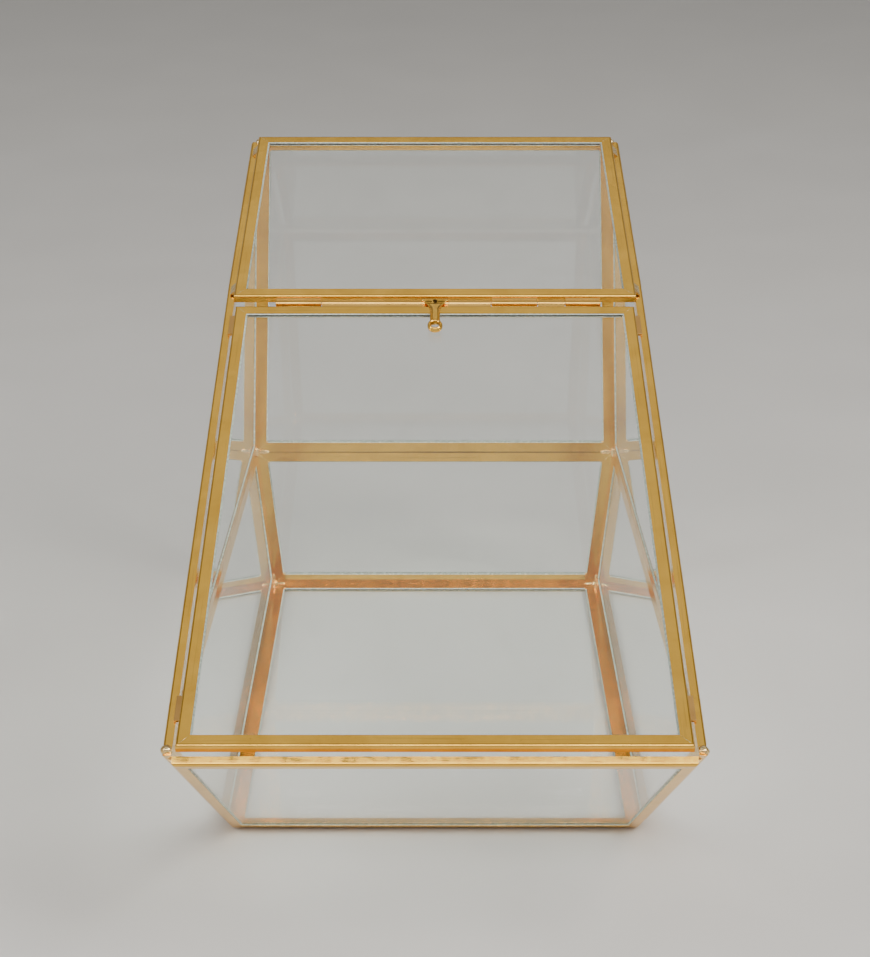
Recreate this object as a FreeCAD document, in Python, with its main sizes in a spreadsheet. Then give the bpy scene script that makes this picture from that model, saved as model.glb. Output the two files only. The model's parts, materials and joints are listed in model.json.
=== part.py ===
import FreeCAD, Part
import math
import os
import Sketcher
from FreeCAD import Placement, Rotation, Vector

# A free-standing jewelry box of flat glass panes. Every pane sits in its own frame of four
# brass cames (slotted strips, mitred at the corners), and the frames are soldered edge to edge.
# The sloping front pane is the lid: it swings up about a tube hinge behind it.
# Front is -Y, up is +Z, and the origin is at the middle of the footprint, on the table.

# Driving dimensions, in millimetres and degrees.
DIMENSIONS = {
    "came_face": 4.2,
    "came_thickness": 3.0,
    "came_spine": 1.1,
    "came_shoulder_radius": 1.0,
    "glass_thickness": 2.0,
    "glass_play": 0.3,
    "base_back_half_width": 70.0,
    "base_front_half_width": 72.6,
    "base_depth": 194.6,
    "waist_back_half_width": 76.2,
    "waist_back_height": 63.6,
    "waist_front_overhang": 283.4,
    "waist_front_height": 77.8,
    "top_back_half_width": 71.0,
    "top_back_height": 198.6,
    "hinge_setback": 100.8,
    "hinge_height": 161.9,
    "lid_clearance": 1.3,
    "hinge_half_gap": 2.6,
    "hinge_tube_radius": 1.3,
    "hinge_bore_radius": 0.65,
    "hinge_pin_radius": 0.6,
    "hinge_foot_height": 1.4,
    "knuckle_gap": 0.3,
    "tab_width": 9.8,
    "tab_neck_width": 3.2,
    "tab_ring_radius": 2.75,
    "tab_hole_radius": 1.3,
    "tab_reach": 14.4,
    "tab_thickness": 1.0,
    "tab_root_thickness": 0.55,
    "tab_root_length": 3.0,
    "tab_wrap_radius": 2.05,
    "tab_wrap_low_angle": 56.0,
    "tab_wrap_high_angle": 118.0,
    "tab_wing_reach": 0.4,
    "tab_flare_reach": 2.2,
    "tab_flare_rise": 0.9,
    "tab_neck_reach": 5.4,
    "rest_length": 9.5,
    "rest_lap": 2.2,
    "rest_foot": 0.6,
    "rest_clearance": 0.2,
    "rest_front_setback": 12.0,
    "rest_hinge_setback": 2.0,
    "tack_length": 5.0,
    "tack_offset": 7.0,
    "tack_fill": 0.6,
    "tack_smallest_fold": 15.0,
}

# Where each length of hinge tube starts and ends along X, and which frame it is soldered to.
KNUCKLES = (
    ("hinge_knuckle_left", -57.6, -40.9, "top"),
    ("lid_knuckle_long", -40.9, 20.3, "lid"),
    ("hinge_knuckle_middle", 20.3, 37.0, "top"),
    ("lid_knuckle_short", 37.0, 46.9, "lid"),
    ("hinge_knuckle_right", 46.9, 59.8, "top"),
)

doc = FreeCAD.newDocument("JewelryBox")
sheet = doc.addObject("Spreadsheet::Sheet", "Dimensions")
sheet_rows = []


def add_cell(alias, value):
    """Keep one plain number in the sheet under a word, and return it."""
    sheet_rows.append(alias)
    row = len(sheet_rows)
    sheet.set(f"A{row}", alias)
    sheet.set(f"B{row}", f"{value:.6f}")
    sheet.setAlias(f"B{row}", alias)
    return value


for dimension_name, dimension_value in DIMENSIONS.items():
    add_cell(dimension_name, dimension_value)
doc.recompute()


def size(alias):
    """Read a dimension back from the sheet."""
    return float(sheet.get(alias))


def cell(alias):
    """The expression that binds a property to a dimension."""
    return f"Dimensions.{alias}"


# ---------------------------------------------------------------- the glass solid's corners

def side_plane_width(depth, height, known):
    """Half width at a place on a flat side wall that passes through three known corners."""
    a, b, c = (Vector(*corner) for corner in known)
    normal = (b - a).cross(c - a)
    return a.x - (normal.y * (depth - a.y) + normal.z * (height - a.z)) / normal.x


def station_corners():
    """The six corners of the right side, where the middle planes of the panes meet."""
    floor = size("came_thickness") / 2
    base_back = (size("base_back_half_width"), 0, floor)
    base_front = (size("base_front_half_width"), -size("base_depth"), floor)
    waist_back = (size("waist_back_half_width"), 0, size("waist_back_height"))
    top_back = (size("top_back_half_width"), 0, size("top_back_height"))
    front_y, front_z = -size("waist_front_overhang"), size("waist_front_height")
    front_x = side_plane_width(front_y, front_z, (base_back, base_front, waist_back))
    waist_front = (front_x, front_y, front_z)
    hinge_y, hinge_z = -size("hinge_setback"), size("hinge_height")
    hinge_x = side_plane_width(hinge_y, hinge_z, (waist_back, waist_front, top_back))
    return {
        "base_back": base_back,
        "base_front": base_front,
        "waist_front": waist_front,
        "waist_back": waist_back,
        "top_back": top_back,
        "hinge": (hinge_x, hinge_y, hinge_z),
    }


STATIONS = station_corners()


def corner_point(corner):
    """A corner such as ("right", "hinge") as a point in space."""
    side, station = corner
    x, y, z = STATIONS[station]
    return Vector(x if side == "right" else -x, y, z)


def band(low, high):
    """Corners of a pane that spans the width between two stations, low edge first."""
    return [("left", low), ("right", low), ("right", high), ("left", high)]


def side_wall(side, stations):
    """Corners of a side pane, in the order that makes its face point outwards."""
    corners = [(side, station) for station in stations]
    return corners if side == "right" else corners[::-1]


# Each pane: its corners, anticlockwise seen from outside, and the names of its four edges.
LOWER_SIDE = ("base_front", "base_back", "waist_back", "waist_front")
UPPER_SIDE = ("waist_front", "waist_back", "top_back", "hinge")
PANES = {
    "base": (band("base_back", "base_front"), ("back", "right", "front", "left")),
    "front": (band("base_front", "waist_front"), ("bottom", "right", "top", "left")),
    "back_lower": (band("base_back", "waist_back")[::-1], ("top", "right", "bottom", "left")),
    "back_upper": (band("waist_back", "top_back")[::-1], ("top", "right", "bottom", "left")),
    "top": (band("hinge", "top_back"), ("front", "right", "back", "left")),
    "lid": (band("waist_front", "hinge"), ("front", "right", "hinge", "left")),
    "right_lower": (side_wall("right", LOWER_SIDE), ("bottom", "back", "top", "front")),
    "right_upper": (side_wall("right", UPPER_SIDE), ("bottom", "back", "top", "front")),
    "left_lower": (side_wall("left", LOWER_SIDE), ("top", "back", "bottom", "front")),
    "left_upper": (side_wall("left", UPPER_SIDE), ("top", "back", "bottom", "front")),
}


def pane_frame(corners):
    """Origin, X along the first edge, Y into the pane and Z out of the box."""
    a, b, c, _ = (corner_point(corner) for corner in corners)
    x_axis = (b - a).normalize()
    z_axis = x_axis.cross(c - b).normalize()
    return a, x_axis, z_axis.cross(x_axis), z_axis


def edge_key(first, second):
    return frozenset((first, second))


def neighbours():
    """Which two panes share each edge of the glass solid."""
    shared = {}
    for name, (corners, _) in PANES.items():
        for i, corner in enumerate(corners):
            shared.setdefault(edge_key(corner, corners[(i + 1) % 4]), []).append(name)
    return shared


SHARED_EDGES = neighbours()


def groove_inset(panes):
    """How far a came stands back from a shared edge, so that the two cames just touch."""
    normals = [pane_frame(PANES[pane][0])[3] for pane in panes]
    fold = normals[0].getAngle(normals[1])
    return size("came_thickness") / 2 * math.tan(fold / 2)


def edge_inset(corners, i):
    """Setback of one edge of a pane from the edge of the glass solid."""
    panes = SHARED_EDGES[edge_key(corners[i], corners[(i + 1) % 4])]
    if set(panes) == {"top", "lid"}:
        return size("hinge_half_gap")
    clearance = size("lid_clearance") if "lid" in panes else 0.0
    return groove_inset(panes) + clearance


def inset_outline(points, insets):
    """Move every side of a convex outline inwards and return the new corners."""
    count = len(points)
    lines = []
    for i, start in enumerate(points):
        direction = (points[(i + 1) % count] - start).normalize()
        inward = Vector(-direction.y, direction.x, 0)
        lines.append((start + inward * insets[i], direction))
    result = []
    for i, (start, direction) in enumerate(lines):
        before, before_direction = lines[i - 1]
        cross = before_direction.x * direction.y - before_direction.y * direction.x
        gap = start - before
        along = (gap.x * direction.y - gap.y * direction.x) / cross
        result.append(before + before_direction * along)
    return result


def pane_outline(name):
    """The outside of a pane's frame, in the pane's own plane."""
    corners = PANES[name][0]
    origin, x_axis, y_axis, _ = pane_frame(corners)
    flat = []
    for corner in corners:
        arm = corner_point(corner) - origin
        flat.append(Vector(arm.dot(x_axis), arm.dot(y_axis), 0))
    return inset_outline(flat, [edge_inset(corners, i) for i in range(4)])


def axes_placement(origin, x_axis, y_axis, z_axis):
    """Placement whose local axes are the given ones."""
    matrix = FreeCAD.Matrix(
        x_axis.x, y_axis.x, z_axis.x, origin.x,
        x_axis.y, y_axis.y, z_axis.y, origin.y,
        x_axis.z, y_axis.z, z_axis.z, origin.z,
        0, 0, 0, 1)
    return Placement(matrix)


# ---------------------------------------------------------------- sketch and body helpers

parts = []
cames = []


def new_body(label):
    """A PartDesign body that becomes one node."""
    body = doc.addObject("PartDesign::Body", label)
    body.Label = label
    parts.append(body)
    return body


def new_sketch(body, name, role="XY_Plane"):
    """A sketch on one of the body's own origin planes."""
    sketch = body.newObject("Sketcher::SketchObject", f"{body.Name}_{name}")
    plane = next(item for item in body.Origin.OriginFeatures if item.Role == role)
    sketch.AttachmentSupport = [(plane, "")]
    sketch.MapMode = "FlatFace"
    return sketch


def polygon(sketch, points):
    """A closed chain of lines through the points."""
    first = sketch.GeometryCount
    count = len(points)
    for i, point in enumerate(points):
        sketch.addGeometry(Part.LineSegment(point, points[(i + 1) % count]), False)
    for i in range(count):
        following = first + (i + 1) % count
        sketch.addConstraint(Sketcher.Constraint("Coincident", first + i, 2, following, 1))
    return first


def dimension(sketch, constraint, expression):
    """Add a driving dimension and bind it to the sheet."""
    index = sketch.addConstraint(constraint)
    sketch.setExpression(f"Constraints[{index}]", expression)


def pad(body, sketch, length_alias, midplane=True):
    """Pad a sketch by a dimension from the sheet."""
    feature = body.newObject("PartDesign::Pad", f"{sketch.Name}_pad")
    feature.Profile = sketch
    feature.Midplane = midplane
    feature.setExpression("Length", cell(length_alias))
    sketch.Visibility = False
    return feature


# ---------------------------------------------------------------- cames and glass

def make_came(label, length, mitre_start, mitre_end, placement):
    """One strip of the frame: a mitred bar with a slot along its inner side for the glass."""
    add_cell(f"{label}_length", length)
    add_cell(f"{label}_mitre_start", mitre_start)
    add_cell(f"{label}_mitre_end", mitre_end)
    face = size("came_face")
    spine = size("came_spine")
    body = new_body(label)

    bar = new_sketch(body, "bar")
    polygon(bar, [Vector(0, 0, 0), Vector(length, 0, 0),
                  Vector(length - mitre_end, face, 0), Vector(mitre_start, face, 0)])
    bar.addConstraint(Sketcher.Constraint("Coincident", 0, 1, -1, 1))
    bar.addConstraint(Sketcher.Constraint("Horizontal", 0))
    bar.addConstraint(Sketcher.Constraint("Horizontal", 2))
    dimension(bar, Sketcher.Constraint("DistanceX", 0, 1, 0, 2, length), cell(f"{label}_length"))
    dimension(bar, Sketcher.Constraint("DistanceY", 0, 2, 1, 2, face), cell("came_face"))
    dimension(bar, Sketcher.Constraint("DistanceX", 1, 2, 0, 2, mitre_end),
              cell(f"{label}_mitre_end"))
    dimension(bar, Sketcher.Constraint("DistanceX", 0, 1, 2, 2, mitre_start),
              cell(f"{label}_mitre_start"))
    pad(body, bar, "came_thickness")

    slot = new_sketch(body, "slot")
    polygon(slot, [Vector(0, spine, 0), Vector(length, spine, 0),
                   Vector(length, 2 * face, 0), Vector(0, 2 * face, 0)])
    pocket = body.newObject("PartDesign::Pocket", f"{label}_pocket")
    pocket.Profile = slot
    pocket.Midplane = True
    pocket.setExpression("Length", cell("glass_thickness"))
    slot.Visibility = False
    body.Placement = placement
    cames.append((body, pocket))


def round_shoulder(body, slotted_bar):
    """Round the long edge of a came that faces out of the box, as drawn came stock has it."""
    outside = size("came_thickness") / 2
    tolerance = 1e-6
    for number, edge in enumerate(slotted_bar.Shape.Edges, start=1):
        ends = [vertex.Point for vertex in edge.Vertexes]
        if all(abs(end.y) < tolerance and abs(end.z - outside) < tolerance for end in ends):
            fillet = body.newObject("PartDesign::Fillet", f"{body.Name}_shoulder")
            fillet.Base = (slotted_bar, [f"Edge{number}"])
            fillet.setExpression("Radius", cell("came_shoulder_radius"))


def make_glass(label, outline, placement):
    """One flat pane, whose edges stand inside the slots of its cames."""
    body = new_body(label)
    sheet_outline = new_sketch(body, "outline")
    setback = size("came_spine") + size("glass_play")
    polygon(sheet_outline, inset_outline(outline, [setback] * 4))
    pad(body, sheet_outline, "glass_thickness")
    body.Placement = placement


def mitre_run(before, corner, after):
    """How far a mitre runs back along a came of full face width."""
    half_angle = (before - corner).getAngle(after - corner) / 2
    return size("came_face") / math.tan(half_angle)


def make_pane(name):
    """The glass of one pane and the four cames around it."""
    corners, edge_names = PANES[name]
    origin, x_axis, y_axis, z_axis = pane_frame(corners)
    outline = pane_outline(name)
    make_glass(f"{name}_glass", outline, axes_placement(origin, x_axis, y_axis, z_axis))
    runs = [mitre_run(outline[i - 1], outline[i], outline[(i + 1) % 4]) for i in range(4)]
    for i, edge_name in enumerate(edge_names):
        start = outline[i]
        end = outline[(i + 1) % 4]
        flat = (end - start).normalize()
        along = x_axis * flat.x + y_axis * flat.y
        corner = origin + x_axis * start.x + y_axis * start.y
        placement = axes_placement(corner, along, z_axis.cross(along), z_axis)
        make_came(f"{name}_came_{edge_name}", (end - start).Length,
                  runs[i], runs[(i + 1) % 4], placement)


# ---------------------------------------------------------------- hinge

HINGE_POINT = Vector(0, -size("hinge_setback"), size("hinge_height"))


def hinge_placement(x_start, pane):
    """Local Z along the hinge axis, local X from the axis towards the pane's frame."""
    _, _, up_slope, outward = pane_frame(PANES[pane][0])
    towards = up_slope if pane == "top" else -up_slope
    origin = HINGE_POINT + Vector(x_start, 0, 0)
    axis = Vector(1, 0, 0)
    return axes_placement(origin, towards, axis.cross(towards), axis)


def make_knuckle(label, x_start, x_end, pane):
    """A length of hinge tube with a soldered foot that reaches its frame."""
    gap = size("knuckle_gap")
    add_cell(f"{label}_length", x_end - x_start - gap)
    radius = size("hinge_tube_radius")
    half_foot = size("hinge_foot_height") / 2
    reach = size("hinge_half_gap")
    foot_angle = math.asin(half_foot / radius)
    root = math.sqrt(radius ** 2 - half_foot ** 2)
    body = new_body(label)
    ring = new_sketch(body, "section")
    circle = Part.Circle(Vector(0, 0, 0), Vector(0, 0, 1), radius)
    ring.addGeometry(Part.ArcOfCircle(circle, foot_angle, 2 * math.pi - foot_angle), False)
    low, high = Vector(root, -half_foot, 0), Vector(root, half_foot, 0)
    tip_low, tip_high = Vector(reach, -half_foot, 0), Vector(reach, half_foot, 0)
    for start, end in ((low, tip_low), (tip_low, tip_high), (tip_high, high)):
        ring.addGeometry(Part.LineSegment(start, end), False)
    for edge in range(4):
        following = (edge + 1) % 4
        ring.addConstraint(Sketcher.Constraint("Coincident", edge, 2, following, 1))
    bore = ring.addGeometry(
        Part.Circle(Vector(0, 0, 0), Vector(0, 0, 1), size("hinge_bore_radius")), False)
    ring.addConstraint(Sketcher.Constraint("Coincident", 0, 3, -1, 1))
    ring.addConstraint(Sketcher.Constraint("Coincident", bore, 3, -1, 1))
    dimension(ring, Sketcher.Constraint("Radius", 0, radius), cell("hinge_tube_radius"))
    dimension(ring, Sketcher.Constraint("Radius", bore, size("hinge_bore_radius")),
              cell("hinge_bore_radius"))
    pad(body, ring, f"{label}_length", midplane=False)
    body.Placement = hinge_placement(x_start + gap / 2, pane)


def make_pin():
    """The plain wire that runs through every length of tube."""
    start = KNUCKLES[0][1]
    add_cell("hinge_pin_length", KNUCKLES[-1][2] - start)
    pin = doc.addObject("Part::Cylinder", "hinge_pin")
    pin.Label = "hinge_pin"
    pin.setExpression("Radius", cell("hinge_pin_radius"))
    pin.setExpression("Height", cell("hinge_pin_length"))
    pin.Placement = hinge_placement(start, "lid")
    parts.append(pin)


def tab_profile(sketch):
    """Side view of the tab: it wraps the tube and then lies on the lid's came."""
    inner = size("hinge_tube_radius")
    outer = size("tab_wrap_radius")
    face = size("came_thickness") / 2
    root_top = face + size("tab_root_thickness")
    top = face + size("tab_thickness")
    reach = size("tab_reach") + size("tab_ring_radius")
    step = size("hinge_half_gap")
    root_end = step + size("tab_root_length")
    low = math.radians(size("tab_wrap_low_angle"))
    high = math.radians(size("tab_wrap_high_angle"))
    centre = Vector(0, 0, 0)
    axis = Vector(0, 0, 1)

    def on_circle(radius, angle):
        return Vector(radius * math.cos(angle), radius * math.sin(angle), 0)

    path = [on_circle(outer, low), Vector(step, root_top, 0), Vector(root_end, top, 0),
            Vector(reach, top, 0), Vector(reach, face, 0), Vector(step, face, 0),
            on_circle(inner, low)]
    sketch.addGeometry(Part.ArcOfCircle(Part.Circle(centre, axis, inner), low, high), False)
    sketch.addGeometry(Part.LineSegment(on_circle(inner, high), on_circle(outer, high)), False)
    sketch.addGeometry(Part.ArcOfCircle(Part.Circle(centre, axis, outer), low, high), False)
    for start, end in zip(path, path[1:]):
        sketch.addGeometry(Part.LineSegment(start, end), False)


def tab_outline(sketch):
    """Plan of the tab: flared wings, a waisted neck and a ring. Inside the outline is kept."""
    half_width = size("tab_width") / 2
    half_neck = size("tab_neck_width") / 2
    ring_x = size("tab_reach")
    ring_radius = size("tab_ring_radius")
    back = -2 * size("tab_wrap_radius")
    neck_end = ring_x - math.sqrt(ring_radius ** 2 - half_neck ** 2)
    flare_dip = Vector(size("tab_flare_reach"), half_neck + size("tab_flare_rise"), 0)
    wing = Vector(size("tab_wing_reach"), half_width, 0)
    neck = Vector(size("tab_neck_reach"), half_neck, 0)
    shoulder = Vector(neck_end, half_neck, 0)
    tip = Vector(ring_x + ring_radius, 0, 0)

    def mirrored(point):
        return Vector(point.x, -point.y, 0)

    sketch.addGeometry(Part.LineSegment(Vector(back, -half_width, 0),
                                        Vector(back, half_width, 0)), False)
    sketch.addGeometry(Part.LineSegment(Vector(back, half_width, 0), wing), False)
    sketch.addGeometry(Part.Arc(wing, flare_dip, neck), False)
    sketch.addGeometry(Part.LineSegment(neck, shoulder), False)
    sketch.addGeometry(Part.Arc(shoulder, tip, mirrored(shoulder)), False)
    sketch.addGeometry(Part.LineSegment(mirrored(shoulder), mirrored(neck)), False)
    sketch.addGeometry(Part.Arc(mirrored(neck), mirrored(flare_dip), mirrored(wing)), False)
    sketch.addGeometry(Part.LineSegment(mirrored(wing), Vector(back, -half_width, 0)), False)
    margin = 2 * half_width
    far = ring_x + 2 * ring_radius
    polygon(sketch, [Vector(back - margin, -margin, 0), Vector(far, -margin, 0),
                     Vector(far, margin, 0), Vector(back - margin, margin, 0)])


def make_tab():
    """The pull tab: a little casting that wraps the long lid knuckle and laps the glass."""
    body = new_body("pull_tab")
    profile = new_sketch(body, "profile", "XZ_Plane")
    tab_profile(profile)
    pad(body, profile, "tab_width")
    outline = new_sketch(body, "plan")
    tab_outline(outline)
    trim = body.newObject("PartDesign::Pocket", "pull_tab_trim")
    trim.Profile = outline
    trim.Type = 1
    trim.Midplane = True
    eye = new_sketch(body, "eye")
    eye.addGeometry(Part.Circle(Vector(size("tab_reach"), 0, 0), Vector(0, 0, 1),
                                size("tab_hole_radius")), False)
    dimension(eye, Sketcher.Constraint("Radius", 0, size("tab_hole_radius")),
              cell("tab_hole_radius"))
    drill = body.newObject("PartDesign::Pocket", "pull_tab_eye")
    drill.Profile = eye
    drill.Type = 1
    drill.Midplane = True
    _, _, up_slope, outward = pane_frame(PANES["lid"][0])
    body.Placement = axes_placement(HINGE_POINT, -up_slope, outward.cross(-up_slope), outward)


# ---------------------------------------------------------------- lid rests and solder

def add_group(label, solids):
    """Several equal small solids that share one node."""
    feature = doc.addObject("Part::Feature", label)
    feature.Label = label
    feature.Shape = Part.makeCompound(solids)
    parts.append(feature)


def rest_section(angle):
    """Cross-section of a lid rest: it lies on the edge of the side came and laps the lid's.

    X runs from the lid's outer edge towards its middle and Y down from the lid's underside.
    The angle is the one between the lid's underside and the side pane's inner face.
    """
    clearance = size("lid_clearance")
    inner_edge = Vector(clearance * (math.cos(angle) - 1), clearance * math.sin(angle), 0)
    across = Vector(-math.sin(angle), math.cos(angle), 0)
    outer_edge = inner_edge + across * size("rest_foot")
    top = size("rest_clearance")
    lap = size("rest_lap")
    return [outer_edge, Vector(outer_edge.x, top, 0), Vector(lap, top, 0),
            Vector(lap, inner_edge.y, 0), inner_edge]


def make_lid_rests():
    """Short bars soldered on the edges of the upper side frames, which stop the closed lid."""
    origin, x_axis, up_slope, outward = pane_frame(PANES["lid"][0])
    underside = origin - outward * (size("came_thickness") / 2)
    outline = pane_outline("lid")
    solids = []
    for low, high, side in ((outline[0], outline[3], "left"), (outline[1], outline[2], "right")):
        flat = (high - low).normalize()
        along = x_axis * flat.x + up_slope * flat.y
        inward = along.cross(outward) * (1 if side == "left" else -1)
        fold = outward.getAngle(pane_frame(PANES[f"{side}_upper"][0])[3])
        last = (high - low).Length - size("rest_hinge_setback") - size("rest_length")
        for distance in (size("rest_front_setback"), last):
            start = underside + x_axis * low.x + up_slope * low.y + along * distance
            ring = [start + inward * p.x - outward * p.y for p in rest_section(math.pi - fold)]
            face = Part.Face(Part.makePolygon(ring + ring[:1]))
            solids.append(face.extrude(along * size("rest_length")))
    add_group("lid_rests", solids)


def make_solder_tacks():
    """A tack of solder in the outer groove near both ends of every folded, fixed seam."""
    thickness = size("came_thickness")
    fill = thickness * size("tack_fill")
    solids = []
    for edge, panes in SHARED_EDGES.items():
        normals = [pane_frame(PANES[pane][0])[3] for pane in panes]
        fold = normals[0].getAngle(normals[1])
        if "lid" in panes or fold < math.radians(size("tack_smallest_fold")):
            continue
        start, end = (corner_point(corner) for corner in sorted(edge))
        along = (end - start).normalize()
        outward = (normals[0] + normals[1]).normalize()
        root = outward * (-thickness / 2 / math.cos(fold / 2))
        for place in (size("tack_offset"),
                      (end - start).Length - size("tack_offset") - size("tack_length")):
            foot = start + along * place + root
            ring = [foot, foot + normals[0] * fill, foot + normals[1] * fill, foot]
            face = Part.Face(Part.makePolygon(ring))
            solids.append(face.extrude(along * size("tack_length")))
    add_group("solder_tacks", solids)


# ---------------------------------------------------------------- build, check and write

for pane_name in PANES:
    make_pane(pane_name)
doc.recompute()
for came_body, came_bar in cames:
    round_shoulder(came_body, came_bar)
for knuckle in KNUCKLES:
    make_knuckle(*knuckle)
make_pin()
make_tab()
make_lid_rests()
make_solder_tacks()
doc.recompute()


def centre_on_footprint():
    """Shift every part so that the origin is the middle of the whole box's footprint."""
    whole = FreeCAD.BoundBox()
    for part in parts:
        whole.add(part.Shape.optimalBoundingBox(False))
    shift = Vector(-whole.Center.x, -whole.Center.y, 0)
    for part in parts:
        part.Placement = Placement(shift, Rotation()).multiply(part.Placement)
    doc.recompute()
    print("size", [round(value, 3) for value in (whole.XLength, whole.YLength, whole.ZLength)],
          "lowest", round(whole.ZMin, 4), "shift", tuple(shift))
    hinge = HINGE_POINT + shift
    print("hinge axis at", [round(value, 4) for value in (hinge.x, hinge.y, hinge.z)])


centre_on_footprint()

for item in doc.Objects:
    if "Invalid" in item.State or "Error" in item.State:
        raise RuntimeError(f"{item.Label} did not compute: {item.State}")
for part in parts:
    if part.Shape.isNull() or not part.Shape.isValid() or part.Shape.Volume <= 0:
        raise RuntimeError(f"{part.Label} is not a sound solid")

os.makedirs("parts", exist_ok=True)
for part in parts:
    part.Shape.exportStep(os.path.join("parts", f"{part.Label}.step"))
print(f"{len(parts)} nodes written")
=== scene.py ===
import json
import math
import random

import bmesh
import bpy
import numpy as np
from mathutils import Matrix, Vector, noise

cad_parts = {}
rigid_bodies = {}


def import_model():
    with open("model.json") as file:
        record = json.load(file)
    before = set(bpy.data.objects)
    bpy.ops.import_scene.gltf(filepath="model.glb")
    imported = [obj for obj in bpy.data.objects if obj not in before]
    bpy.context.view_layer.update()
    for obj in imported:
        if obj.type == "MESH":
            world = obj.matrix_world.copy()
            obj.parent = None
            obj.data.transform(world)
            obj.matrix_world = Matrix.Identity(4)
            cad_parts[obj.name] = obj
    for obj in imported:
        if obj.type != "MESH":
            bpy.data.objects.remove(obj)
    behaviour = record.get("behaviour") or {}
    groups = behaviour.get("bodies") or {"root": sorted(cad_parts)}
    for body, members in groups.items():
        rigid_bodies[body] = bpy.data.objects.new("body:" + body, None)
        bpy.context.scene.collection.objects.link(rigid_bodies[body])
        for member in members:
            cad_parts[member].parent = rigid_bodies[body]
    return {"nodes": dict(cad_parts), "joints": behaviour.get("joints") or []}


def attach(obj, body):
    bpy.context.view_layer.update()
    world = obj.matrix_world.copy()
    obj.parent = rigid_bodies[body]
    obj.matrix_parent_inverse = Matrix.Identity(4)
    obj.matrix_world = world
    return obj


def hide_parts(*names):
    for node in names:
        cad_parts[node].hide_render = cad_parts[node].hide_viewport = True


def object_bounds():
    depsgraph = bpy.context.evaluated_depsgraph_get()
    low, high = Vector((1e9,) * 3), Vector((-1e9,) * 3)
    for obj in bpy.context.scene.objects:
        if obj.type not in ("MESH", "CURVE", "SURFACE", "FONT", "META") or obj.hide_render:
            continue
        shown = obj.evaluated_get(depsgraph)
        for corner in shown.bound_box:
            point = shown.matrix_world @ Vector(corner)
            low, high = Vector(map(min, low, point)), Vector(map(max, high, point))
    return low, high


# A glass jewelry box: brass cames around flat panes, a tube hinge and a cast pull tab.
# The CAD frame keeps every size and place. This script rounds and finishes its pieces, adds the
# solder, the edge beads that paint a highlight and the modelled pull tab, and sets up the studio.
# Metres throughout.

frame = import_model()
CAD_LOW, CAD_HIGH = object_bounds()
NODES = frame["nodes"]
CENTRE = (CAD_LOW + CAD_HIGH) / 2
MM = 0.001

# ------------------------------------------------------------------ sizes read from the frame

PANES = ("base", "front", "back_lower", "back_upper", "top", "lid",
         "right_lower", "right_upper", "left_lower", "left_upper")
HINGE = frame["joints"][0]
HINGE_POINT = Vector(HINGE["pos_m"])
LID_BODY = HINGE["child"]
CASE_BODY = HINGE["parent"]

CAME_FACE = 4.2 * MM
CAME_THICKNESS = 3.0 * MM
GLASS_THICKNESS = 2.0 * MM
GLASS_SETBACK = 1.4 * MM


def pane_body(pane):
    """The CAD body that a pane's frame moves with."""
    return LID_BODY if pane == "lid" else CASE_BODY


def points_of(node):
    """The different corner points of a CAD node, in the row frame."""
    seen = {tuple(round(c, 6) for c in vertex.co) for vertex in NODES[node].data.vertices}
    return [Vector(p) for p in sorted(seen)]


def pane_plane(pane):
    """Middle, outward normal and the glass's four corners in the middle plane of a pane."""
    points = points_of(f"{pane}_glass")
    middle = sum(points, Vector()) / len(points)
    faces = NODES[f"{pane}_glass"].data.polygons
    normal = max(faces, key=lambda face: face.area).normal.copy()
    if normal.dot(middle - CENTRE) < 0:
        normal.negate()
    outer = [p for p in points if (p - middle).dot(normal) > 0]
    side = (outer[0] - middle).normalized()
    other = normal.cross(side)
    outer.sort(key=lambda p: math.atan2((p - middle).dot(other), (p - middle).dot(side)))
    corners = [p - normal * (p - middle).dot(normal) for p in outer]
    return middle, normal, corners


def inset(corners, normal, distance):
    """Move each side of a flat convex outline inwards, for corners anticlockwise about normal."""
    count = len(corners)
    result = []
    for i in range(count):
        before, here, after = corners[i - 1], corners[i], corners[(i + 1) % count]
        first = (here - before).normalized()
        second = (after - here).normalized()
        turn = first.angle(second)
        reach = distance / math.cos(turn / 2)
        result.append(here + normal.cross(first + second).normalized() * reach)
    return result


# ------------------------------------------------------------------ node helpers

def add_node(tree, kind, **values):
    """A shader node with plain values set by input or property name."""
    made = tree.nodes.new(kind)
    for name, value in values.items():
        label = name.replace("_", " ")
        if label in made.inputs:
            made.inputs[label].default_value = value
        else:
            setattr(made, name, value)
    return made


def new_material(name):
    """A node material that holds only its output."""
    material = bpy.data.materials.new(name)
    material.use_nodes = True
    tree = material.node_tree
    tree.nodes.clear()
    output = tree.nodes.new("ShaderNodeOutputMaterial")
    return material, tree, output


def noise_value(tree, coordinate, scale, detail=3.0, distortion=0.0):
    """A grey noise pattern."""
    pattern = add_node(tree, "ShaderNodeTexNoise", Scale=scale, Detail=detail,
                       Distortion=distortion)
    tree.links.new(coordinate, pattern.inputs["Vector"])
    return pattern.outputs["Fac"]


def remap(tree, value, low, high, to_low, to_high):
    """Stretch part of a value's range onto another range, clamped."""
    mapped = tree.nodes.new("ShaderNodeMapRange")
    for name, number in zip(("From Min", "From Max", "To Min", "To Max"),
                            (low, high, to_low, to_high)):
        mapped.inputs[name].default_value = number
    tree.links.new(value, mapped.inputs["Value"])
    return mapped.outputs["Result"]


def blend_colour(tree, factor, first, second):
    """Mix two colours by a factor. Either may be a plain colour or a socket."""
    mixed = tree.nodes.new("ShaderNodeMix")
    mixed.data_type = "RGBA"
    tree.links.new(factor, mixed.inputs[0])
    for socket, colour in ((mixed.inputs[6], first), (mixed.inputs[7], second)):
        if isinstance(colour, tuple):
            socket.default_value = (*colour, 1.0)
        else:
            tree.links.new(colour, socket)
    return mixed.outputs[2]


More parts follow.
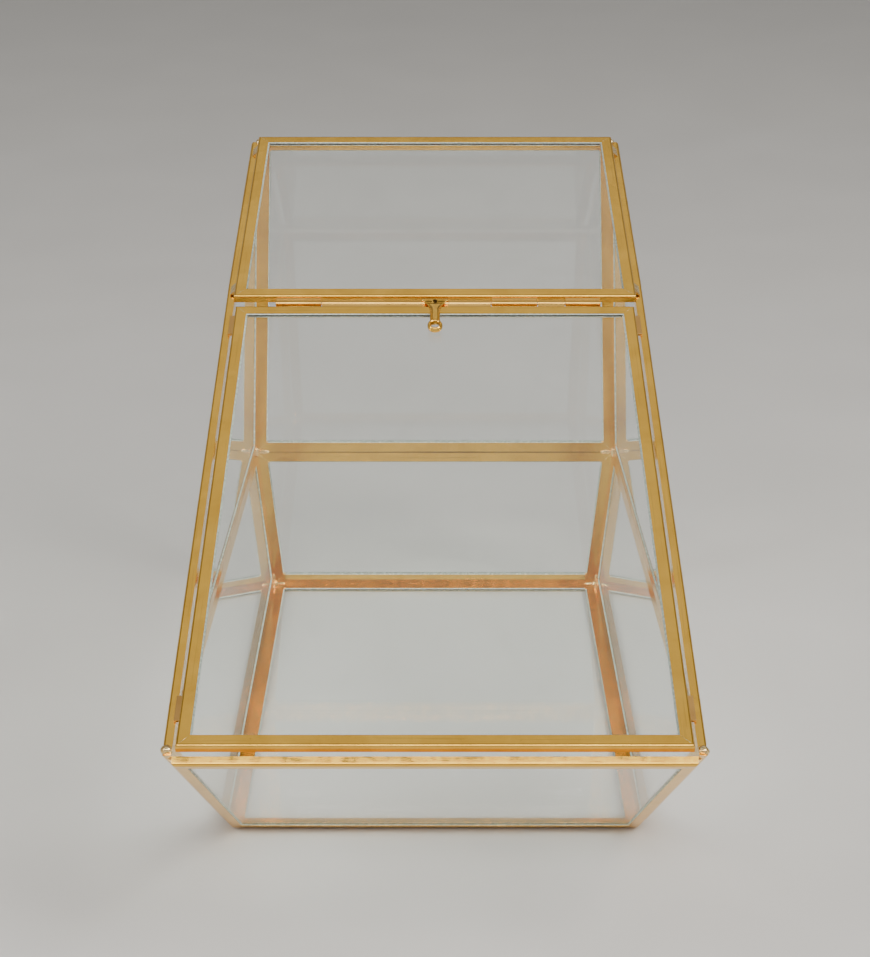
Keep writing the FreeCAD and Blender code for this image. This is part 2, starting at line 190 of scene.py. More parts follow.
def combine(tree, operation, first, second):
    """A Math node on two values."""
    made = add_node(tree, "ShaderNodeMath", operation=operation)
    for socket, value in zip(made.inputs, (first, second)):
        if isinstance(value, (int, float)):
            socket.default_value = value
        else:
            tree.links.new(value, socket)
    return made.outputs[0]


def bump(tree, height, distance, strength):
    """A bump from a height pattern, with distance in metres."""
    made = add_node(tree, "ShaderNodeBump", Strength=strength, Distance=distance)
    tree.links.new(height, made.inputs["Height"])
    return made.outputs["Normal"]


def object_coordinate(tree):
    return tree.nodes.new("ShaderNodeTexCoord").outputs["Object"]


def grain_coordinate(tree, along, stretch):
    """Coordinates drawn out along a direction, so that noise makes lengthwise grain."""
    coordinate = object_coordinate(tree)
    dot = add_node(tree, "ShaderNodeVectorMath", operation="DOT_PRODUCT")
    tree.links.new(coordinate, dot.inputs[0])
    dot.inputs[1].default_value = along
    run = combine(tree, "MULTIPLY", dot.outputs["Value"], 1.0 - 1.0 / stretch)
    back = add_node(tree, "ShaderNodeVectorMath", operation="SCALE")
    back.inputs[0].default_value = along
    tree.links.new(run, back.inputs["Scale"])
    cut = add_node(tree, "ShaderNodeVectorMath", operation="SUBTRACT")
    tree.links.new(coordinate, cut.inputs[0])
    tree.links.new(back.outputs[0], cut.inputs[1])
    return coordinate, cut.outputs[0]


# ------------------------------------------------------------------ materials

BRASS_BRIGHT = (0.91, 0.53, 0.085)
BRASS_DEEP = (0.64, 0.33, 0.04)
BRASS_TARNISH = (0.27, 0.14, 0.04)


def brass_material(name, along, bright, deep, tarnish, roughness, grain_depth):
    """Drawn and polished brass: lengthwise grain, cloudy colour, tarnish specks and smudges."""
    material, tree, output = new_material(name)
    shader = add_node(tree, "ShaderNodeBsdfPrincipled", Metallic=1.0)
    coordinate, drawn = grain_coordinate(tree, along, 40.0)
    grain = noise_value(tree, drawn, 5200.0, 3.0)
    streak = noise_value(tree, drawn, 1400.0, 2.0)
    cloud = noise_value(tree, coordinate, 70.0, 4.0, 0.6)
    smudge = noise_value(tree, coordinate, 230.0, 3.0, 1.2)
    speck = noise_value(tree, coordinate, 1500.0, 2.0)

    tone = remap(tree, cloud, 0.38, 0.72, 0.0, 0.45)
    colour = blend_colour(tree, tone, bright, deep)
    dirt = combine(tree, "MULTIPLY", remap(tree, speck, 0.68, 0.78, 0.0, 0.8),
                   remap(tree, cloud, 0.48, 0.68, 0.0, 0.7))
    colour = blend_colour(tree, dirt, colour, tarnish)
    lines = remap(tree, streak, 0.60, 0.80, 0.0, 0.30)
    colour = blend_colour(tree, lines, colour, tarnish)
    tree.links.new(colour, shader.inputs["Base Color"])

    rough = remap(tree, smudge, 0.35, 0.70, roughness, roughness + 0.08)
    rough = combine(tree, "ADD", rough, remap(tree, grain, 0.35, 0.65, -0.02, 0.04))
    rough = combine(tree, "ADD", rough, combine(tree, "MULTIPLY", dirt, 0.25))
    tree.links.new(rough, shader.inputs["Roughness"])

    relief = combine(tree, "ADD", grain, combine(tree, "MULTIPLY", cloud, 0.6))
    tree.links.new(bump(tree, relief, grain_depth, 0.25), shader.inputs["Normal"])
    tree.links.new(shader.outputs[0], output.inputs["Surface"])
    return material


def solder_material():
    """Brass-washed tin solder: a little paler than the cames, uneven and wet looking."""
    material, tree, output = new_material("solder_metal")
    shader = add_node(tree, "ShaderNodeBsdfPrincipled", Metallic=1.0)
    coordinate = object_coordinate(tree)
    wash = noise_value(tree, coordinate, 420.0, 3.0)
    ripple = noise_value(tree, coordinate, 1900.0, 3.0)
    colour = blend_colour(tree, remap(tree, wash, 0.35, 0.65, 0.0, 1.0),
                          (0.92, 0.72, 0.38), (0.76, 0.50, 0.19))
    tree.links.new(colour, shader.inputs["Base Color"])
    tree.links.new(remap(tree, ripple, 0.3, 0.7, 0.14, 0.34), shader.inputs["Roughness"])
    tree.links.new(bump(tree, ripple, 0.02 * MM, 0.4), shader.inputs["Normal"])
    tree.links.new(shader.outputs[0], output.inputs["Surface"])
    return material


def nearness(tree, coordinate, place, near, far):
    """One within the near distance of a place, falling to zero at the far distance."""
    gap = add_node(tree, "ShaderNodeVectorMath", operation="DISTANCE")
    tree.links.new(coordinate, gap.inputs[0])
    gap.inputs[1].default_value = place
    return remap(tree, gap.outputs["Value"], near, far, 1.0, 0.0)


def cast_material(pit, eye):
    """Cast and polished brass, with near-black painted shade in the pit and on the inside of the
    eye.
    """
    material, tree, output = new_material("tab_cast_brass")
    shader = add_node(tree, "ShaderNodeBsdfPrincipled", Metallic=1.0)
    coordinate = object_coordinate(tree)
    cloud = noise_value(tree, coordinate, 380.0, 4.0, 0.5)
    pits = noise_value(tree, coordinate, 2600.0, 2.0)
    in_pit = nearness(tree, coordinate, pit, 0.75 * MM, 1.15 * MM)
    in_eye = nearness(tree, coordinate, eye, 1.3 * MM, 1.9 * MM)
    hollow_shade = combine(tree, "ADD", in_pit, combine(tree, "MULTIPLY", in_eye, 0.6))
    colour = blend_colour(tree, remap(tree, cloud, 0.35, 0.7, 0.0, 0.8),
                          (0.92, 0.54, 0.10), (0.64, 0.33, 0.045))
    # Painted shade: near-black colour in the pit and around the eye's hole, where shadow falls
    # and the hole shows dark.
    painted_shade = combine(tree, "MULTIPLY", hollow_shade,
                   remap(tree, cloud, 0.3, 0.6, 0.75, 1.0))
    colour = blend_colour(tree, painted_shade, colour, (0.025, 0.012, 0.004))
    tree.links.new(colour, shader.inputs["Base Color"])
    rough = combine(tree, "ADD", remap(tree, cloud, 0.3, 0.7, 0.08, 0.18),
                    combine(tree, "MULTIPLY", painted_shade, 0.45))
    tree.links.new(rough, shader.inputs["Roughness"])
    tree.links.new(bump(tree, pits, 0.012 * MM, 0.35), shader.inputs["Normal"])
    tree.links.new(shader.outputs[0], output.inputs["Surface"])
    return material


def glass_material():
    """Clear float glass with faint wiping smudges. Lamps shine through it unbent."""
    material, tree, output = new_material("clear_glass")
    shader = add_node(tree, "ShaderNodeBsdfPrincipled", IOR=1.5, Transmission_Weight=1.0)
    coordinate = object_coordinate(tree)
    wipe = noise_value(tree, coordinate, 38.0, 4.0, 1.5)
    film = noise_value(tree, coordinate, 320.0, 2.0)
    smear = combine(tree, "MULTIPLY", remap(tree, wipe, 0.52, 0.75, 0.0, 1.0),
                    remap(tree, film, 0.4, 0.7, 0.4, 1.0))
    tree.links.new(blend_colour(tree, smear, (0.982, 0.995, 0.987), (0.95, 0.965, 0.955)),
                   shader.inputs["Base Color"])
    tree.links.new(remap(tree, smear, 0.0, 1.0, 0.0, 0.035), shader.inputs["Roughness"])
    clear = add_node(tree, "ShaderNodeBsdfTransparent", Color=(0.95, 0.965, 0.955, 1.0))
    path = tree.nodes.new("ShaderNodeLightPath")
    mix = tree.nodes.new("ShaderNodeMixShader")
    tree.links.new(path.outputs["Is Shadow Ray"], mix.inputs[0])
    tree.links.new(shader.outputs[0], mix.inputs[1])
    tree.links.new(clear.outputs[0], mix.inputs[2])
    tree.links.new(mix.outputs[0], output.inputs["Surface"])
    return material


def edge_highlight_material():
    """The pale green line where the edge of the glass meets the came: a painted highlight for
    light caught in the glass edge.
    """
    material, tree, output = new_material("glass_edge_painted_highlight")
    shader = add_node(tree, "ShaderNodeBsdfPrincipled", IOR=1.45, Transmission_Weight=0.35)
    coordinate = object_coordinate(tree)
    milky = noise_value(tree, coordinate, 900.0, 3.0)
    # Pale green-white painted highlight, standing in for light caught in the glass edge.
    colour = blend_colour(tree, remap(tree, milky, 0.35, 0.7, 0.0, 1.0),
                          (0.72, 0.80, 0.72), (0.50, 0.60, 0.50))
    tree.links.new(colour, shader.inputs["Base Color"])
    tree.links.new(remap(tree, milky, 0.3, 0.7, 0.12, 0.4), shader.inputs["Roughness"])
    tree.links.new(bump(tree, milky, 0.01 * MM, 0.3), shader.inputs["Normal"])
    tree.links.new(shader.outputs[0], output.inputs["Surface"])
    return material


def floor_material():
    """A plain pale tabletop with a very slight mottle."""
    material, tree, output = new_material("pale_floor")
    shader = add_node(tree, "ShaderNodeBsdfPrincipled")
    coordinate = object_coordinate(tree)
    mottle = noise_value(tree, coordinate, 14.0, 5.0)
    tree.links.new(blend_colour(tree, mottle, (0.60, 0.58, 0.55), (0.66, 0.64, 0.61)),
                   shader.inputs["Base Color"])
    tree.links.new(remap(tree, mottle, 0.3, 0.7, 0.55, 0.75), shader.inputs["Roughness"])
    tree.links.new(shader.outputs[0], output.inputs["Surface"])
    return material


GLASS = glass_material()
SOLDER = solder_material()
# The edge beads' pale colour is a painted highlight.
EDGE_HIGHLIGHT = edge_highlight_material()


# ------------------------------------------------------------------ finishing the CAD pieces

def wear(piece, material):
    """Give a CAD node or a new piece its only material."""
    piece.data.materials.clear()
    piece.data.materials.append(material)


def soften(piece, width, segments=2, angle=32.0):
    """Weld a tessellated CAD node and round its sharp edges."""
    for polygon in piece.data.polygons:
        polygon.use_smooth = True
    weld = piece.modifiers.new("weld", "WELD")
    weld.merge_threshold = 0.002 * MM
    edge = piece.modifiers.new("edge_round", "BEVEL")
    edge.width = width
    edge.segments = segments
    edge.limit_method = "ANGLE"
    edge.angle_limit = math.radians(angle)
    edge.use_clamp_overlap = True
    even = piece.modifiers.new("even_normals", "WEIGHTED_NORMAL")
    even.keep_sharp = False
    even.weight = 60


def long_axis(node):
    """The direction in which a CAD node is longest."""
    points = np.array([tuple(p) for p in points_of(node)])
    axis = Vector(np.linalg.svd(points - points.mean(0))[2][0])
    return -axis if max(axis, key=abs) < 0 else axis


came_finishes = {}


def came_finish(along):
    """Came brass whose grain runs along a direction. Parallel cames share one material."""
    key = tuple(round(c, 2) + 0.0 for c in along)
    if key not in came_finishes:
        came_finishes[key] = brass_material(
            f"came_brass_{len(came_finishes) + 1:02d}", along, BRASS_BRIGHT, BRASS_DEEP,
            BRASS_TARNISH, 0.11, 0.008 * MM)
    return came_finishes[key]


def finish_frame():
    """Materials for every CAD node, and rounded edges for its metal."""
    across = Vector((1, 0, 0))
    tube = brass_material("hinge_tube_brass", across, (0.92, 0.55, 0.13), (0.68, 0.36, 0.06),
                          (0.22, 0.11, 0.05), 0.10, 0.006 * MM)
    wire = brass_material("hinge_wire_brass", across, (0.70, 0.52, 0.28), (0.45, 0.30, 0.12),
                          (0.15, 0.08, 0.04), 0.25, 0.012 * MM)
    aged = brass_material("rest_aged_brass", long_axis("lid_came_left"), (0.66, 0.38, 0.12),
                          (0.42, 0.21, 0.06), (0.16, 0.07, 0.03), 0.30, 0.03 * MM)
    for name, piece in NODES.items():
        if "_came_" in name:
            wear(piece, came_finish(long_axis(name)))
            soften(piece, 0.22 * MM)
        elif name.endswith("_glass"):
            wear(piece, GLASS)
        elif "knuckle" in name:
            wear(piece, tube)
            soften(piece, 0.14 * MM)
        elif name == "hinge_pin":
            wear(piece, wire)
            soften(piece, 0.12 * MM)
        elif name == "lid_rests":
            wear(piece, aged)
            soften(piece, 0.15 * MM)
        elif name == "solder_tacks":
            wear(piece, SOLDER)


finish_frame()


# ------------------------------------------------------------------ solder

def mesh_piece(name, mesh_builder, body, material, smooth=True):
    """A new piece built from a bmesh, riding on a CAD body."""
    mesh = bpy.data.meshes.new(name)
    bmesh.ops.recalc_face_normals(mesh_builder, faces=mesh_builder.faces)
    mesh_builder.to_mesh(mesh)
    mesh_builder.free()
    piece = bpy.data.objects.new(name, mesh)
    bpy.context.scene.collection.objects.link(piece)
    for polygon in mesh.polygons:
        polygon.use_smooth = smooth
    piece.data.materials.append(material)
    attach(piece, body)
    return piece


SINK = 0.03 * MM
MITRE_HALF_WIDTH = 0.12 * MM
MITRE_HEIGHT = 0.05 * MM
SPILL_GAP = 0.15 * MM
SPILL_DEPTH = 0.42 * MM
SEAM_HALF_WIDTH = 0.34 * MM
SEAM_HEIGHT = 0.10 * MM


def add_blob(builder, centre, radii, axes, seed):
    """A lump of solder: a sphere squashed to three radii and made uneven."""
    made = bmesh.ops.create_icosphere(builder, subdivisions=3, radius=1.0)
    offset = Vector((seed * 3.7, seed * 1.3, seed * 2.1))
    for vertex in made["verts"]:
        swell = 1.0 + 0.22 * noise.noise(vertex.co * 1.6 + offset)
        local = vertex.co * swell
        vertex.co = centre + sum((axis * (radius * value) for axis, radius, value
                                  in zip(axes, radii, local)), Vector())


def add_ridge(builder, start, end, normal, half_width, height, seed):
    """A thin run of solder along a mitre: a low rounded ridge of uneven width."""
    along = end - start
    across = normal.cross(along.normalized())
    steps = 14
    profile = 7
    rows = []
    for i in range(steps + 1):
        share = i / steps
        taper = math.sin(math.pi * min(max(share, 0.04), 0.96)) ** 0.35
        swell = 1.0 + 0.35 * noise.noise(Vector((share * 5.0, seed * 1.7, 0.3)))
        centre = start + along * share
        row = []
        for j in range(profile):
            angle = math.pi * j / (profile - 1)
            row.append(builder.verts.new(
                centre + across * (math.cos(angle) * half_width * taper * swell)
                + normal * (math.sin(angle) * height * taper * swell)))
        rows.append(row)
    for first, second in zip(rows, rows[1:]):
        for j in range(profile - 1):
            builder.faces.new((first[j], second[j], second[j + 1], first[j + 1]))
        builder.faces.new((first[0], first[-1], second[-1], second[0]))
    builder.faces.new(rows[0])
    builder.faces.new(rows[-1][::-1])


def solder_mitres(pane, seed):
    """Solder on both faces of a pane's four mitres."""
    _, normal, glass = pane_plane(pane)
    outer = inset(glass, normal, -GLASS_SETBACK)
    inner = inset(glass, normal, CAME_FACE - GLASS_SETBACK)
    builder = bmesh.new()
    for i, (far, near) in enumerate(zip(outer, inner)):
        for side in (1, -1):
            lift = normal * (side * (CAME_THICKNESS / 2 - SINK))
            margin = (near - far) * (0.22 if side > 0 else 0.06)
            add_ridge(builder, far + margin + lift, near - (near - far) * 0.04 + lift,
                      normal * side, MITRE_HALF_WIDTH, MITRE_HEIGHT, seed + 4 * i + side)
    return mesh_piece(f"{pane}_mitre_solder", builder, pane_body(pane), SOLDER)


def solder_glass_corners(pane, seed):
    """Small spills of solder in the inner corners of a frame, lying on the glass."""
    _, normal, glass = pane_plane(pane)
    inner = inset(glass, normal, CAME_FACE - GLASS_SETBACK + SPILL_GAP)
    middle = sum(inner, Vector()) / len(inner)
    chance = random.Random(seed)
    builder = bmesh.new()
    for i, corner in enumerate(inner):
        inward = (middle - corner).normalized()
        axes = (inward, normal.cross(inward), normal)
        reach = chance.uniform(0.45, 0.85) * MM
        centre = corner - normal * (GLASS_THICKNESS / 2)
        add_blob(builder, centre, (reach, reach * chance.uniform(0.8, 1.1), SPILL_DEPTH), axes,
                 seed + i)
    return mesh_piece(f"{pane}_corner_solder", builder, pane_body(pane), SOLDER)


for index, pane_name in enumerate(PANES):
    solder_mitres(pane_name, 11 * index)
    solder_glass_corners(pane_name, 7 * index + 3)


def inner_face_planes(panes):
    """Point and outward normal of each pane's inner face."""
    planes = []
    for pane in panes:
        middle, normal, _ = pane_plane(pane)
        planes.append((middle - normal * (CAME_THICKNESS / 2), normal))
    return planes


def meeting_point(planes):
    """The point where three planes cross."""
    rows = np.array([tuple(normal) for _, normal in planes])
    sides = np.array([point.dot(normal) for point, normal in planes])
    return Vector(np.linalg.solve(rows, sides))


INNER_CORNERS = {
    "base_back": ("base", "back_lower", "lower"),
    "base_front": ("base", "front", "lower"),
    "top_back": ("top", "back_upper", "upper"),
}


def solder_inner_corners():
    """Heaped solder inside the box where three frames meet, with legs along the seams."""
    for corner, (first, second, wall) in INNER_CORNERS.items():
        for side in ("left", "right"):
            planes = inner_face_planes((first, second, f"{side}_{wall}"))
            point = meeting_point(planes)
            inward = -sum((normal for _, normal in planes), Vector()).normalized()
            builder = bmesh.new()
            seed = len(corner) + (5 if side == "left" else 0)
            tangent = inward.orthogonal().normalized()
            axes = (inward, tangent, inward.cross(tangent))
            add_blob(builder, point + inward * (0.3 * MM),
                     (1.5 * MM, 1.5 * MM, 1.4 * MM), axes, seed)
            for one, other in ((0, 1), (1, 2), (2, 0)):
                seam = planes[one][1].cross(planes[other][1]).normalized()
                if seam.dot(inward) < 0:
                    seam.negate()
                bisector = -(planes[one][1] + planes[other][1]).normalized()
                leg_axes = (seam, bisector, seam.cross(bisector))
                add_blob(builder, point + seam * (2.3 * MM) + bisector * (0.1 * MM),
                         (2.4 * MM, 0.62 * MM, 0.7 * MM), leg_axes, seed + one + 1)
            mesh_piece(f"{corner}_{side}_solder", builder, CASE_BODY, SOLDER)


solder_inner_corners()


def solder_waist_corners():
    """Heaped solder inside the box at the two ends of the seam across the back wall."""
    for side in ("left", "right"):
        planes = inner_face_planes(("back_lower", f"{side}_upper", f"{side}_lower"))
        point = meeting_point(planes)
        inward = -(planes[0][1] + planes[1][1]).normalized()
        across = Vector((1, 0, 0))
        upright = Vector((0, 0, 1))
        depth = inward.cross(upright).normalized()
        builder = bmesh.new()
        add_blob(builder, point + inward * (0.25 * MM), (1.3 * MM, 1.3 * MM, 2.2 * MM),
                 (inward, depth, upright), 21)
        add_blob(builder, point + across * math.copysign(3.0 * MM, -point.x)
                 - planes[0][1] * (0.05 * MM), (2.6 * MM, 0.35 * MM, 0.9 * MM),
                 (across, planes[0][1], upright), 22)
        mesh_piece(f"waist_back_{side}_solder", builder, CASE_BODY, SOLDER)


solder_waist_corners()


TIP_RADIUS = 1.75 * MM
TIP_SETBACK = 0.55 * TIP_RADIUS


def solder_front_tips():
    """Rounded ends of solder where the two side frames meet beside the lid's front corners."""
    for side in ("left", "right"):
        tips = []
        normals = []
        for level in ("upper", "lower"):
            _, normal, glass = pane_plane(f"{side}_{level}")
            tips.append(min(inset(glass, normal, -GLASS_SETBACK), key=lambda p: p.y))
            normals.append(normal)
        outward = (normals[0] + normals[1]).normalized()
        axes = (outward, outward.orthogonal().normalized())
        axes += (axes[0].cross(axes[1]),)
        centre = (tips[0] + tips[1]) / 2 + Vector((0, TIP_SETBACK, 0))
        builder = bmesh.new()
        add_blob(builder, centre, (TIP_RADIUS,) * 3, axes, 31)
        mesh_piece(f"waist_front_{side}_solder", builder, CASE_BODY, SOLDER)


solder_front_tips()


def paint_waist_groove_shadow():
    """A dark ridge inside the box along the groove between the two frames of the back wall:
    painted shade for the shadow in that groove.
    """
    _, normal, glass = pane_plane("back_lower")
    _, upper_normal, upper_glass = pane_plane("back_upper")
    ends = []
    for corners, own, rank in ((glass, normal, max), (upper_glass, upper_normal, min)):
        edge = inset(corners, own, -GLASS_SETBACK)
        level = rank(p.z for p in edge)
        ends.append(sorted((p for p in edge if abs(p.z - level) < MM), key=lambda p: p.x))
    inward = -(normal + upper_normal).normalized()
    start, end = ((ends[0][i] + ends[1][i]) / 2 + inward * (CAME_THICKNESS / 2 - SINK)
                  for i in (0, 1))
    builder = bmesh.new()
    add_ridge(builder, start.lerp(end, 0.03), end.lerp(start, 0.03), inward,
              SEAM_HALF_WIDTH, SEAM_HEIGHT, 17)
    # Dark brown painted shade: this strip stands in for the shadow in the groove between the two
    # cames.
    painted_groove_material = brass_material("painted_groove_shadow", Vector((1, 0, 0)), (0.16, 0.09, 0.03),
                          (0.08, 0.04, 0.02), (0.03, 0.02, 0.01), 0.45, 0.01 * MM)
    mesh_piece("waist_groove_shadow_strip", builder, CASE_BODY, painted_groove_material)


paint_waist_groove_shadow()


# ------------------------------------------------------------------ edge highlight beads (painted highlight)

def edge_highlight_bead(pane, bead_radius):
    """The pale line around a pane, a painted highlight: a quarter-round bead between each came
    lip and the glass, for light caught in the glass edge.
    """
    _, normal, glass = pane_plane(pane)
    builder = bmesh.new()
    profile = 5
    for side in (1, -1):
        rings = []
        for j in range(profile):
            angle = math.pi / 2 * j / (profile - 1)
            reach = bead_radius * (1 - math.sin(angle))
            rise = bead_radius * (1 - math.cos(angle))
            ring = inset(glass, normal, CAME_FACE - GLASS_SETBACK - 0.02 * MM + reach)
            lift = normal * (side * (GLASS_THICKNESS / 2 + rise))
            rings.append([builder.verts.new(p + lift) for p in ring])
        root = inset(glass, normal, CAME_FACE - GLASS_SETBACK - 0.02 * MM)
        lift = normal * (side * GLASS_THICKNESS / 2)
        rings.append([builder.verts.new(p + lift) for p in root])
        for first, second in zip(rings, rings[1:] + rings[:1]):
            for i in range(4):
                k = (i + 1) % 4
                builder.faces.new((first[i], first[k], second[k], second[i]))
    return mesh_piece(f"{pane}_edge_highlight_bead", builder, pane_body(pane), EDGE_HIGHLIGHT)


# Edge beads whose pale colour is a painted highlight along each came.
for pane_name in PANES:
    edge_highlight_bead(pane_name, 0.42 * MM)


# ------------------------------------------------------------------ pull tab

LID_NORMAL = pane_plane("lid")[1]
DOWN_SLOPE = Vector((1, 0, 0)).cross(LID_NORMAL).normalized()
if DOWN_SLOPE.z > 0:
    DOWN_SLOPE.negate()
TAB_HALF_WIDTH = 4.9 * MM
TAB_HALF_NECK = 1.85 * MM
TAB_FLARE_START = 0.4 * MM
TAB_FLARE_END = 5.4 * MM
TAB_RING_CENTRE = 14.4 * MM
TAB_RING_RADIUS = 2.75 * MM
TAB_HOLE_RADIUS = 1.4 * MM
TUBE_RADIUS = 1.3 * MM
WRAP_RADIUS = 2.05 * MM
WRAP_ANGLES = (118.0, 56.0)
PIT_FLOOR = 1.55 * MM
PIT_RADIUS = 1.0 * MM
PIT_DEPTH = 0.32 * MM
ROOT_DISH = 0.25
DISH_GAIN = 0.41
DISH_START = 0.4 * MM
DISH_RUN = 3.4 * MM
RING_RISE = 2.5 * MM
RING_HALF_THICKNESS = 1.2 * MM
RING_STEPS = 40
RING_SIDES = 18
PIT_REACH = 0.5 * MM
PIT_RISE = 1.75 * MM
CAST_VOXEL = 0.11 * MM
CAST_SMOOTHING = 4
LID_FACE = CAME_THICKNESS / 2


def tab_width_at(reach):
    """Half width of the tab: straight wings, then a concave flare into the neck."""
    share = min(max((reach - TAB_FLARE_START) / (TAB_FLARE_END - TAB_FLARE_START), 0.0), 1.0)
    return TAB_HALF_NECK + (TAB_HALF_WIDTH - TAB_HALF_NECK) * (1.0 - share) ** 2.1


def tab_stations():
    """Bottom point, top point and reach at each cross-section, in (down slope, outward)."""
    stations = []
    for i in range(9):
        angle = math.radians(WRAP_ANGLES[0] + (WRAP_ANGLES[1] - WRAP_ANGLES[0]) * i / 8)
        ray = Vector((math.cos(angle), math.sin(angle)))
        stations.append((ray * (TUBE_RADIUS + 0.04 * MM), ray * WRAP_RADIUS,
                         ray.x * WRAP_RADIUS))
    top_line = ((2.0, 1.78), (2.6, 1.84), (3.4, 2.0), (4.2, 2.2), (5.0, 2.38), (5.8, 2.5),
                (7.0, 2.5), (8.5, 2.47), (10.0, 2.42), (11.5, 2.42), (12.6, 2.45))
    for reach, top in top_line:
        bottom = max(LID_FACE / MM + 0.02, 1.1 + 0.2 * reach) if reach < 2.6 else 1.52
        stations.append((Vector((reach, bottom)) * MM, Vector((reach, top)) * MM, reach * MM))
    return stations


def tab_section(width, dish):
    """(across, share of the thickness) around one cross-section, with a rim on both edges."""
    rim = min(0.55 * MM / width, 0.36)
    top = []
    for i in range(25):
        t = -1.0 + 2.0 * i / 24
        inside = 1.0 - rim
        if abs(t) > inside:
            swing = (abs(t) - inside) / rim
            level = 1.0 - 0.55 * swing ** 3
        else:
            sink = 1.0 - (abs(t) / inside) ** 4
            level = 1.0 - dish * sink
        top.append((t * width, level))
    bottom = [(width * t, 0.0) for t in (0.96, 0.5, 0.0, -0.5, -0.96)]
    return top + bottom


def build_tab():
    """The cast tab: wings over the hinge tube, a rimmed and dished neck, and an eye."""
    builder = bmesh.new()
    across = DOWN_SLOPE.cross(LID_NORMAL).normalized()

    def place(reach, rise, side):
        return HINGE_POINT + DOWN_SLOPE * reach + LID_NORMAL * rise + across * side

    rows = []
    for bottom, top, reach in tab_stations():
        width = tab_width_at(reach)
        dish = ROOT_DISH + DISH_GAIN * min(max((reach - DISH_START) / DISH_RUN, 0.0), 1.0)
        row = []
        for side, level in tab_section(width, dish):
            point = bottom.lerp(top, level)
            row.append(builder.verts.new(place(point.x, point.y, side)))
        rows.append(row)
    count = len(rows[0])
    for first, second in zip(rows, rows[1:]):
        for j in range(count):
            k = (j + 1) % count
            builder.faces.new((first[j], first[k], second[k], second[j]))
    builder.faces.new(rows[0][::-1])
    builder.faces.new(rows[-1])

    middle_radius = (TAB_RING_RADIUS + TAB_HOLE_RADIUS) / 2
    tube = (TAB_RING_RADIUS - TAB_HOLE_RADIUS) / 2
    rings = []
    for i in range(RING_STEPS):
        around = 2 * math.pi * i / RING_STEPS
        ring = []
        for j in range(RING_SIDES):
            angle = 2 * math.pi * j / RING_SIDES
            radius = middle_radius + tube * math.cos(angle)
            rise = RING_RISE + RING_HALF_THICKNESS * math.sin(angle)
            ring.append(builder.verts.new(place(TAB_RING_CENTRE + radius * math.cos(around),
                                                rise, radius * math.sin(around))))
        rings.append(ring)
    for first, second in zip(rings, rings[1:] + rings[:1]):
        for j in range(RING_SIDES):
            k = (j + 1) % RING_SIDES
            builder.faces.new((first[j], first[k], second[k], second[j]))

    pit = place(PIT_REACH, PIT_RISE, 0.0)
    eye = place(TAB_RING_CENTRE, RING_RISE, 0.0)
    piece = mesh_piece("pull_tab_casting", builder, LID_BODY, cast_material(pit, eye))
    fuse = piece.modifiers.new("fuse", "REMESH")
    fuse.mode = "VOXEL"
    fuse.voxel_size = CAST_VOXEL
    fuse.use_smooth_shade = True
    relax = piece.modifiers.new("relax", "SMOOTH")
    relax.factor = 0.5
    relax.iterations = CAST_SMOOTHING
    bpy.context.view_layer.update()
    graph = bpy.context.evaluated_depsgraph_get()
    cast = bpy.data.meshes.new_from_object(piece.evaluated_get(graph))
    piece.modifiers.clear()
    piece.data = cast
    press_dimple(cast, pit)
    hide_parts("pull_tab")
    return piece


def press_dimple(mesh, pit):
    """Press a small pit into the root of the tab, without reaching the tube below."""
    for vertex in mesh.vertices:
        from_axis = Vector((0, *(vertex.co - HINGE_POINT).yz)).length
        if from_axis < PIT_FLOOR:
            continue
        spread = math.exp(-((vertex.co - pit).length / PIT_RADIUS) ** 2)
        vertex.co -= LID_NORMAL * (PIT_DEPTH * spread)


build_tab()


# ------------------------------------------------------------------ studio

FLOOR_RADIUS = 9.0
FLOOR_SEGMENTS = 96
HORIZON_COLOUR = (0.52, 0.51, 0.495)
OVERHEAD_COLOUR = (0.19, 0.19, 0.185)
HORIZON_HEIGHT, OVERHEAD_HEIGHT = 0.02, 0.75

# Name, place, width, height, watts and colour of each lamp. All of them aim at the box.
SOFTBOXES = (
    ("key", (0.85, -0.55, 1.1), 0.5, 0.8, 15.0, (1.0, 0.98, 0.95)),
    ("fill", (-1.1, -0.6, 0.8), 0.35, 1.1, 8.0, (0.96, 0.98, 1.0)),
    ("front", (0.0, -1.35, 1.2), 1.8, 0.4, 17.0, (1.0, 0.98, 0.95)),
    ("overhead", (0.0, 0.45, 1.6), 1.8, 1.3, 4.0, (1.0, 0.99, 0.97)),
)

# The camera stands in front of the hinge line, in the middle of the box, and looks down.
CAMERA_SETBACK = 779.1 * MM
CAMERA_HEIGHT = 416.2 * MM
CAMERA_PITCH = 22.5
CAMERA_LENS = 85.1
CAMERA_NEAR = 0.05


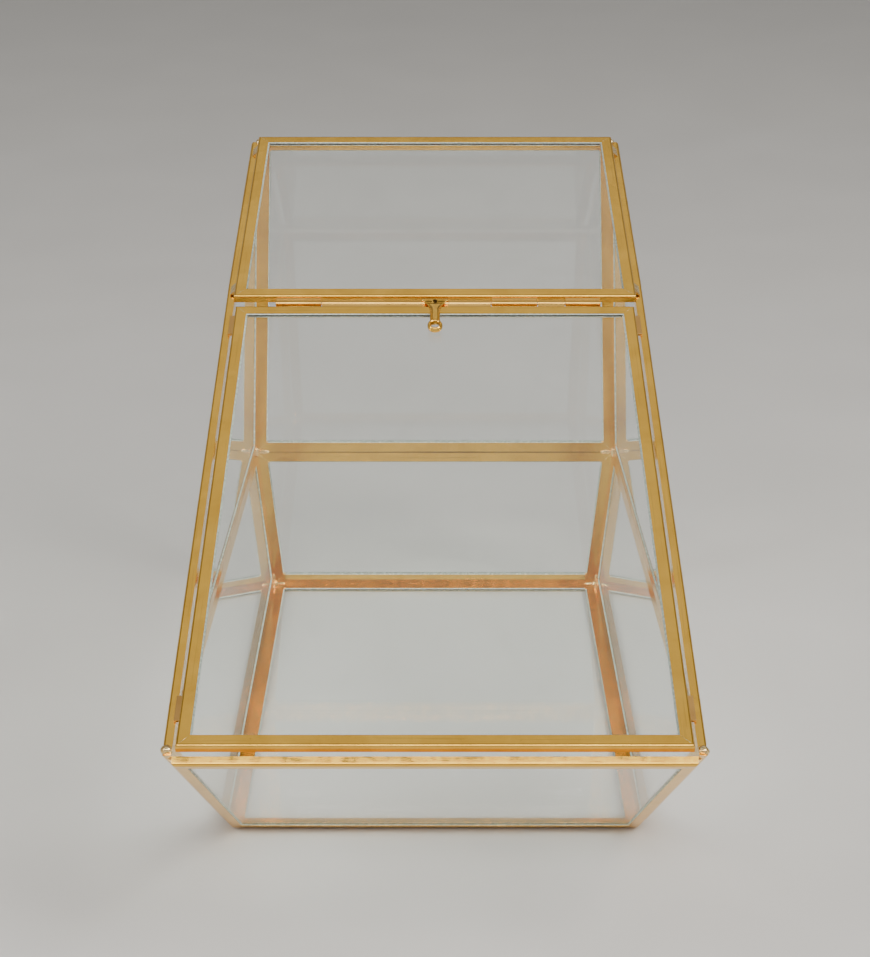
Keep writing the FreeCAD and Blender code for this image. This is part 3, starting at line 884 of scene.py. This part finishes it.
def add_floor():
    """A broad round tabletop, whose edge shows only as the horizon in very low views."""
    builder = bmesh.new()
    bmesh.ops.create_circle(builder, cap_ends=True, segments=FLOOR_SEGMENTS,
                            radius=FLOOR_RADIUS)
    mesh = bpy.data.meshes.new("floor")
    builder.to_mesh(mesh)
    builder.free()
    floor = bpy.data.objects.new("floor", mesh)
    floor.location.z = CAD_LOW.z
    mesh.materials.append(floor_material())
    bpy.context.scene.collection.objects.link(floor)


def aim(thing, target):
    """Turn a lamp or camera to look at a point."""
    thing.rotation_euler = (target - thing.location).to_track_quat("-Z", "Y").to_euler()


def add_softbox(name, place, width, height, power, colour):
    """A soft rectangular lamp aimed at the box."""
    lamp = bpy.data.lights.new(name, "AREA")
    lamp.shape = "RECTANGLE"
    lamp.size = width
    lamp.size_y = height
    lamp.energy = power
    lamp.color = colour
    box = bpy.data.objects.new(name, lamp)
    box.location = place
    aim(box, CENTRE)
    bpy.context.scene.collection.objects.link(box)


def add_world():
    """Studio air that is pale at the horizon and dark overhead."""
    world = bpy.data.worlds.new("studio")
    world.use_nodes = True
    tree = world.node_tree
    direction = tree.nodes.new("ShaderNodeTexCoord").outputs["Generated"]
    split = tree.nodes.new("ShaderNodeSeparateXYZ")
    tree.links.new(direction, split.inputs[0])
    height = remap(tree, split.outputs["Z"], HORIZON_HEIGHT, OVERHEAD_HEIGHT, 0.0, 1.0)
    colour = blend_colour(tree, height, HORIZON_COLOUR, OVERHEAD_COLOUR)
    tree.links.new(colour, tree.nodes["Background"].inputs["Color"])
    bpy.context.scene.world = world


def add_camera():
    """A long lens in front of the box, looking down on it."""
    view = bpy.data.cameras.new("camera")
    view.lens = CAMERA_LENS
    view.clip_start = CAMERA_NEAR
    camera = bpy.data.objects.new("camera", view)
    camera.location = (0.0, HINGE_POINT.y - CAMERA_SETBACK, CAMERA_HEIGHT)
    camera.rotation_euler = (math.radians(90.0 - CAMERA_PITCH), 0.0, 0.0)
    bpy.context.scene.collection.objects.link(camera)
    bpy.context.scene.camera = camera


add_floor()
for name, place, width, height, power, colour in SOFTBOXES:
    add_softbox(name, Vector(place), width, height, power, colour)
add_world()
add_camera()
